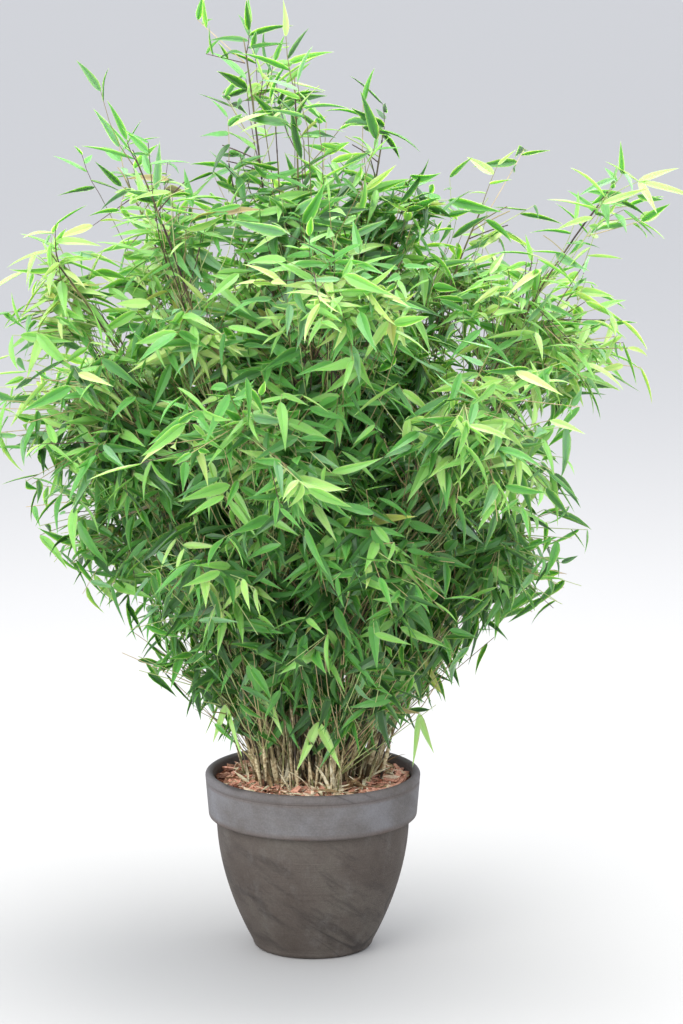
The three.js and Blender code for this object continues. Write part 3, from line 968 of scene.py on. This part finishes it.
TWIG_TONES = dict(green=(176, 188, 124), olive=(134, 122, 80), tan=(184, 163, 120), purple=(84, 58, 56))
LOW_TWIG_SHARES = (0.5, 0.18, 0.28, 0.04)
HIGH_TWIG_SHARES = (0.34, 0.3, 0.1, 0.26)

GREENS = dict(
    shaded=(46, 86, 38), deep=(63, 118, 50), mid=(88, 151, 68), fresh=(127, 181, 89),
    bright=(158, 200, 109), lime=(180, 210, 121), glaucous=(112, 158, 106),
    yellowing=(168, 176, 92), dry=(146, 130, 88))
GREEN_NAMES = list(GREENS)
BRIGHT = GREEN_NAMES.index("bright")
FRESHEST = GREEN_NAMES.index("lime")
ODD_GREENS = (("yellowing", 0.006), ("dry", 0.003), ("glaucous", 0.06))

# How the green changes, in steps of the list from the most shaded to the freshest
GREEN_AT_FOOT = -1.28
# Steps by height and by reach: lighter up and out, partly the leaves' own tone and partly painted light;
# darker deep inside the crown, partly older leaves and partly painted shade
GREEN_BY_HEIGHT = 4.4
GREEN_BY_REACH = 2.2
GREEN_OF_LEADERS = 2.2
GREEN_SCATTER = 1.15
LEADERS_FROM = 980
LEADERS_FULLY = 1090


def crown_radius(height):
    """About how far out the crown reaches at a height"""
    return min(400, 100 + 0.75 * max(height - 270, 0))


def green_of(place, spread):
    """The green of one spray: lighter towards the top and the outside and darker deep inside, partly the
    leaves' own tone and partly painted light and shade, and middling on the open leaders
    """
    for name, share in ODD_GREENS:
        if spread.uniform() < share:
            return GREEN_NAMES.index(name)
    height = (place[2] - 300) / 850
    reach = reach_of(place) / crown_radius(place[2])
    # Height and reach lift the green: partly the leaves' own tone, partly painted light up and out and
    # painted shade within
    green = GREEN_AT_FOOT + GREEN_BY_HEIGHT * min(height, 0.78) + GREEN_BY_REACH * min(reach, 0.95)
    leader = np.clip((place[2] - LEADERS_FROM) / (LEADERS_FULLY - LEADERS_FROM), 0, 1)
    green += (GREEN_OF_LEADERS - green) * leader + spread.normal(0, GREEN_SCATTER)
    return int(np.clip(green, 0, FRESHEST))


def start_on_cane(cane, end):
    """The point of a cane from which a twig rises steeply to its end"""
    points = np.array([path_point(cane, share) for share in np.linspace(0.2, 0.97, 20)])
    aside = np.hypot(points[:, 0] - end[0], points[:, 1] - end[1])
    miss = np.abs(end[2] - points[:, 2] - FINE_TWIG_RISE - FINE_TWIG_STEEPNESS * aside)
    return points[miss.argmin()]


def fine_twig(start, end, heading, spread):
    """One fine upright twig, with a few real-size leaves at its end that face out and up to the light"""
    span = np.linalg.norm(end - start)
    rise = end[2] - start[2]
    steep = np.clip((rise / (reach_of(end - start) + 1) - 0.9) / 0.9, 0, 1)
    knee = start + (end - start) * (0.5 + np.array((0.22, 0.22, -0.2)) * steep)
    path = (start, knee, end, np.cross(UP, heading), *FINE_TWIG_RADII)
    facing = turned_about(level_part(heading), UP, spread.normal(0, 65))
    hand = 1 if spread.uniform() < 0.5 else -1
    light = unit(level_part(end) * 0.75 + UP * 0.7)
    blades = []
    for i in range(spread.choice(LEAF_COUNTS, p=LEAF_COUNT_SHARES)):
        at = path_point(path, max(1 - LEAVES_APART * i / span, 0.3))
        toward = turned_about(facing, UP, hand * LEAF_TURNS[i] + spread.normal(0, 16))
        height = (at[2] - SOIL_LEVEL) / 1000
        lift = TOP_LEAF_LIFT * max(0, height - 0.72)
        pitch = LOW_LEAF_PITCH + (HIGH_LEAF_PITCH - LOW_LEAF_PITCH) * height + lift + spread.normal(0, 22)
        toward = raised(toward, pitch)
        length = spread.uniform(*LEAF_SIZE) * (1 - 0.04 * i)
        across = unit(np.cross(light + spread.normal(0, 0.55, 3), toward))
        tip = at + toward * length
        out = max(0, reach_of(tip) - 100) / 300
        if tip[2] < UNDERSIDE + UNDERSIDE_RISE * out ** 1.25:
            continue
        blades.append((at, toward, across, length, length * spread.uniform(*LEAF_SLIMNESS),
                       spread.uniform(0.2, 0.9), spread.normal(0, 0.4)))
    return path, blades


def tip_growth(cane, spread):
    """The last stretch of a cane, with alternate leaves that point up and out, the highest one upright"""
    tip = np.array(cane[2])
    ahead = unit(unit(tip - cane[1]) + UP * 0.7 + spread.normal(0, 0.25, 3))
    end = tip + ahead * spread.uniform(*TIP_LENGTH)
    end[2] = min(end[2], cad_box[1][2] / MM - 45)
    knee = (tip + end) / 2 + spread.normal(0, 4, 3)
    path = (tip, knee, end, cane[3], max(cane[5] * 0.8, 0.5), FINE_TWIG_RADII[1])
    turn = spread.uniform(0, 360)
    height = (tip[2] - SOIL_LEVEL) / 1000
    blades = []
    for i in range(TIP_LEAVES):
        at = path_point(path, 1 - i / TIP_LEAVES)
        level = turned_about(EAST, UP, turn + 160 * i + spread.normal(0, 25))
        toward = raised(level, -30 + 75 * height - 9 * i + (22 if i == 0 else 0) + spread.normal(0, 14))
        across = unit(np.cross(UP + spread.normal(0, 0.5, 3), toward))
        length = spread.uniform(*LEAF_SIZE) * (0.85 if i == 0 else 1)
        blades.append((at, toward, across, length, length * spread.uniform(*LEAF_SLIMNESS),
                       spread.uniform(0.1, 0.7), spread.normal(0, 0.4)))
    return path, blades


def hanging_sprig(end, canes, spread):
    """A low twig from the nearest cane, with a pair of leaves that hang from its tip"""
    end = np.array(end, float)
    points = np.array([path_point(cane, share) for cane in canes for share in np.linspace(0.08, 0.5, 10)])
    points = points[points[:, 2] < end[2] - 8]
    start = points[np.linalg.norm(points - end, axis=1).argmin()]
    knee = start + (end - start) * np.array((0.6, 0.6, 0.8)) + UP * 12
    outward = level_part(end)
    path = (start, knee, end, np.cross(UP, outward), *FINE_TWIG_RADII)
    blades = []
    for hand in (-1, 1):
        level = turned_about(outward, UP, hand * spread.uniform(60, 90))
        toward = raised(level, spread.uniform(*HANGING_PITCH))
        across = unit(np.cross(outward + spread.normal(0, 0.2, 3), toward))
        length = spread.uniform(*HANGING_LEAF)
        blades.append((end, toward, across, length, length * HANGING_SLIMNESS,
                       spread.uniform(-0.1, 0.25), 0))
    return path, blades


def side_shoot(canes):
    """A twig on from the tip of the nearest leader, with the leaves that reach furthest out"""
    end = np.array(SIDE_SHOOT_END, float)
    start = min((np.array(cane[2], float) for cane in canes), key=lambda tip: np.linalg.norm(tip - end))
    path = (start, (start + end) / 2 + UP * 6, end, NORTH, *FINE_TWIG_RADII)
    blades = []
    for turn, pitch, length in SIDE_SHOOT_LEAVES:
        toward = raised(turned_about(EAST, UP, turn), pitch)
        across = unit(np.cross(np.array((0, -0.5, 1)), toward))
        blades.append((end, toward, across, length, length * LEAF_SLIMNESS[0], 0.25, 0.2))
    return path, blades


def kept_open(end, spread):
    """True where the clump is to stay open: round the canes' feet, and among the leaders at the top"""
    if end[2] < OPEN_FOOT and reach_of(end) < OPEN_FOOT_RADIUS:
        return spread.uniform() > OPEN_FOOT_KEPT
    dome = end[2] + OPEN_TOP_SLOPE * reach_of(end)
    top = np.clip((dome - OPEN_TOP[0]) / (OPEN_TOP[1] - OPEN_TOP[0]), 0, 1)
    return spread.uniform() < top * (1 - OPEN_TOP_KEPT)


def fine_twigs_of(leaf, canes, spread):
    """Fine twigs in the reach of one of the source's leaves, each risen from a cane of the bundle"""
    grown = []
    for share in FINE_TWIG_PLACES:
        reach = leaf.length * (share + spread.uniform(-0.1, 0.1))
        end = leaf.root + leaf.heading * reach + spread.normal(0, FINE_TWIG_SCATTER, 3)
        start = start_on_cane(canes[spread.integers(len(canes))], end)
        if np.linalg.norm(end - start) > FINE_TWIG_LONGEST:
            start = leaf.root - UP * 20
        if not kept_open(end, spread):
            grown.append(fine_twig(start, end, leaf.heading, spread))
    return grown


def fine_twigs_on(cane, spread):
    """Fine twigs round the upper part of a companion cane"""
    grown = []
    for i in range(COMPANION_TWIGS):
        climbed = (i + spread.uniform(0, 1)) / COMPANION_TWIGS
        start = path_point(cane, COMPANION_LEAVES_FROM + (0.98 - COMPANION_LEAVES_FROM) * climbed)
        around = spread.uniform(0, 2 * math.pi)
        reach = spread.uniform(*COMPANION_REACH)
        heading = unit(level_at(around) + 0.5 * level_part(start))
        end = start + heading * reach + UP * (reach * 0.8 + FINE_TWIG_RISE * spread.uniform(0.4, 1))
        if not kept_open(end, spread):
            grown.append(fine_twig(start, end, heading, spread))
    return grown


def inside_box(blades):
    """The blades whose tips stay in the part's box, the others cut shorter or left out"""
    low, high = (np.array(corner) / MM for corner in cad_box)
    kept = []
    for root, heading, across, length, *shape in blades:
        tip = root + heading * length
        over = max((tip - high).max(), (low - tip).max(), 0)
        shorter = length - 1.3 * over
        if shorter > 0.6 * length:
            kept.append((root, heading, across, shorter, *shape))
    return kept


def grown_on(plan, bundle, spread):
    """The fine growth of one bundle of canes, by the source's rule, and the larger twigs that carry it"""
    limbs, grown = [], []
    for spray in sprays_of(plan):
        knee = (spray.root + spray.end) / 2 + UP * 3
        thick = stem_radius(plan, spray.place) * 0.6
        limbs.append((spray.root, knee, spray.end, np.cross(UP, spray.ahead), thick, 0.75))
        for leaf in spray.leaves:
            grown += fine_twigs_of(leaf, bundle, spread)
    for cane in bundle[1:1 + LEAFY_COMPANIONS]:
        grown += fine_twigs_on(cane, spread)
    grown += [tip_growth(cane, spread) for cane in bundle]
    return limbs, grown


def bundle_of(plan, spread):
    """A cane of the source, a little deeper in the soil, and its companions"""
    foot, knee, end = plan.path
    cane = (foot - UP * CANE_BURIED, knee, end, plan.side, CANE_FOOT_RADIUS, CANE_TIP_RADIUS)
    return [cane] + companion_paths(plan, spread)


def placed_growth(tier, canes, spread):
    """The sprigs and the shoot that have a place of their own"""
    if tier["name"] == "skirt":
        return [hanging_sprig(end, canes, spread) for end in HANGING_SPRIGS]
    if tier["name"] == "leader":
        return [side_shoot(canes)]
    return []


def assign(piece, nodes=()):
    """Attaches a piece to the root body, and hides the nodes that it stands for"""
    if nodes:
        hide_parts(*nodes)
    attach(piece, "root")


def grow_tier(tier, blanks, finishes):
    """The canes, sheaths, twigs and leaves of one tier, each kind as one piece"""
    name = tier["name"]
    members = [plan for plan in plans if plan.tier is tier]
    canes, twigs, grown = [], [], []
    for plan in members:
        spread = np.random.default_rng(100 + plan.key)
        bundle = bundle_of(plan, spread)
        canes += bundle
        carriers, fine = grown_on(plan, bundle, spread)
        twigs += carriers
        grown += fine
    spread = np.random.default_rng(500 + len(members))
    placed = placed_growth(tier, canes, spread)
    blades, tints = [], []
    for i, (path, found) in enumerate(placed + grown):
        found = inside_box(found)
        if not found:
            continue
        twigs.append(path)
        blades += found
        # The placed sprigs and the side shoot take the bright green; on the low hanging sprigs this is
        # painted light
        green = BRIGHT if i < len(placed) else green_of(path[2], spread)
        tints += [green if spread.uniform() < 0.75 else green_of(path[2], spread) for _ in found]
    young = np.array([int(cane[4] < YOUNG_UNDER) for cane in canes])
    piece = joined(f"canes_{name}", blanks.cane, bent_sticks(blanks.cane, canes), finishes.skins, young)
    assign(piece, [f"cane_{plan.name}" for plan in members])
    clasps = bent_sticks(blanks.sheath, sheath_paths(canes, spread))
    assign(joined(f"sheaths_{name}", blanks.sheath, clasps, [finishes.paper]))
    shares = HIGH_TWIG_SHARES if name in ("crown", "upper", "leader") else LOW_TWIG_SHARES
    bark = spread.choice(len(finishes.barks), size=len(twigs), p=shares)
    foliage = [f"foliage_{plan.name}" for plan in members]
    piece = joined(f"twigs_{name}", blanks.twig, bent_sticks(blanks.twig, twigs), finishes.barks, bark)
    assign(piece, foliage)
    used = sorted(set(tints))
    greens = [finishes.greens[i] for i in used]
    tints = np.array([used.index(i) for i in tints])
    leaves = bent_blades(blanks.leaf, blades)
    piece = joined(f"leaves_{name}", blanks.leaf, leaves, greens, tints, smooth=18)
    assign(piece, foliage)


def grow():
    """The fallen straw, and all that grows"""
    finishes = SimpleNamespace(
        skins=[cane_skin(), young_skin()],
        paper=wood("papery_sheath", (216, 202, 162), (140, 118, 82)),
        barks=[twig_bark(f"twig_{name}", tone) for name, tone in TWIG_TONES.items()],
        greens=[leaf_green(f"leaf_{name}", tone) for name, tone in GREENS.items()])
    joints = [(i + 0.6) / INTERNODES for i in range(INTERNODES)]
    blanks = SimpleNamespace(
        cane=stick_blank("cane_blank", sides=8, rings=14, joints=joints),
        twig=stick_blank("twig_blank", sides=4, rings=3),
        sheath=sheath_blank(),
        leaf=leaf_blank())
    assign(straws(blanks.leaf))
    for tier in TIERS:
        grow_tier(tier, blanks, finishes)


# Stage


def stage():
    deselect()
    bpy.ops.mesh.primitive_plane_add(size=STUDIO_FLOOR, location=(0, 0, 0))
    floor = settle()
    floor.name = "studio_floor"
    material, _, _ = new_material("pale_floor", (180, 178, 174), 0.9, 0.2)
    floor.data.materials.append(material)
    scene = bpy.context.scene
    # Plain colour, as a photograph's: the default view greys the greens
    scene.view_settings.view_transform = "Standard"
    world = bpy.data.worlds.new("studio")
    scene.world = world
    world.use_nodes = True
    sky = world.node_tree.nodes["Background"]
    sky.inputs["Color"].default_value = SKY
    sky.inputs["Strength"].default_value = SKY_STRENGTH
    for name, at, tilt, size, watts in SOFTBOXES:
        bpy.ops.object.light_add(type="AREA", location=at, rotation=[math.radians(a) for a in tilt])
        lamp = bpy.context.object
        lamp.name = name
        lamp.data.size = size
        lamp.data.energy = watts


def camera():
    bpy.ops.object.camera_add(location=CAMERA_PLACE, rotation=(math.radians(90 - CAMERA_DOWN), 0, 0))
    eye = bpy.context.object
    eye.data.lens = CAMERA_LENS
    bpy.context.scene.camera = eye


camera()
stage()
assign(pot(), ["pot"])
assign(crumb_bed(), ["potting_soil"])
assign(chips())
grow()
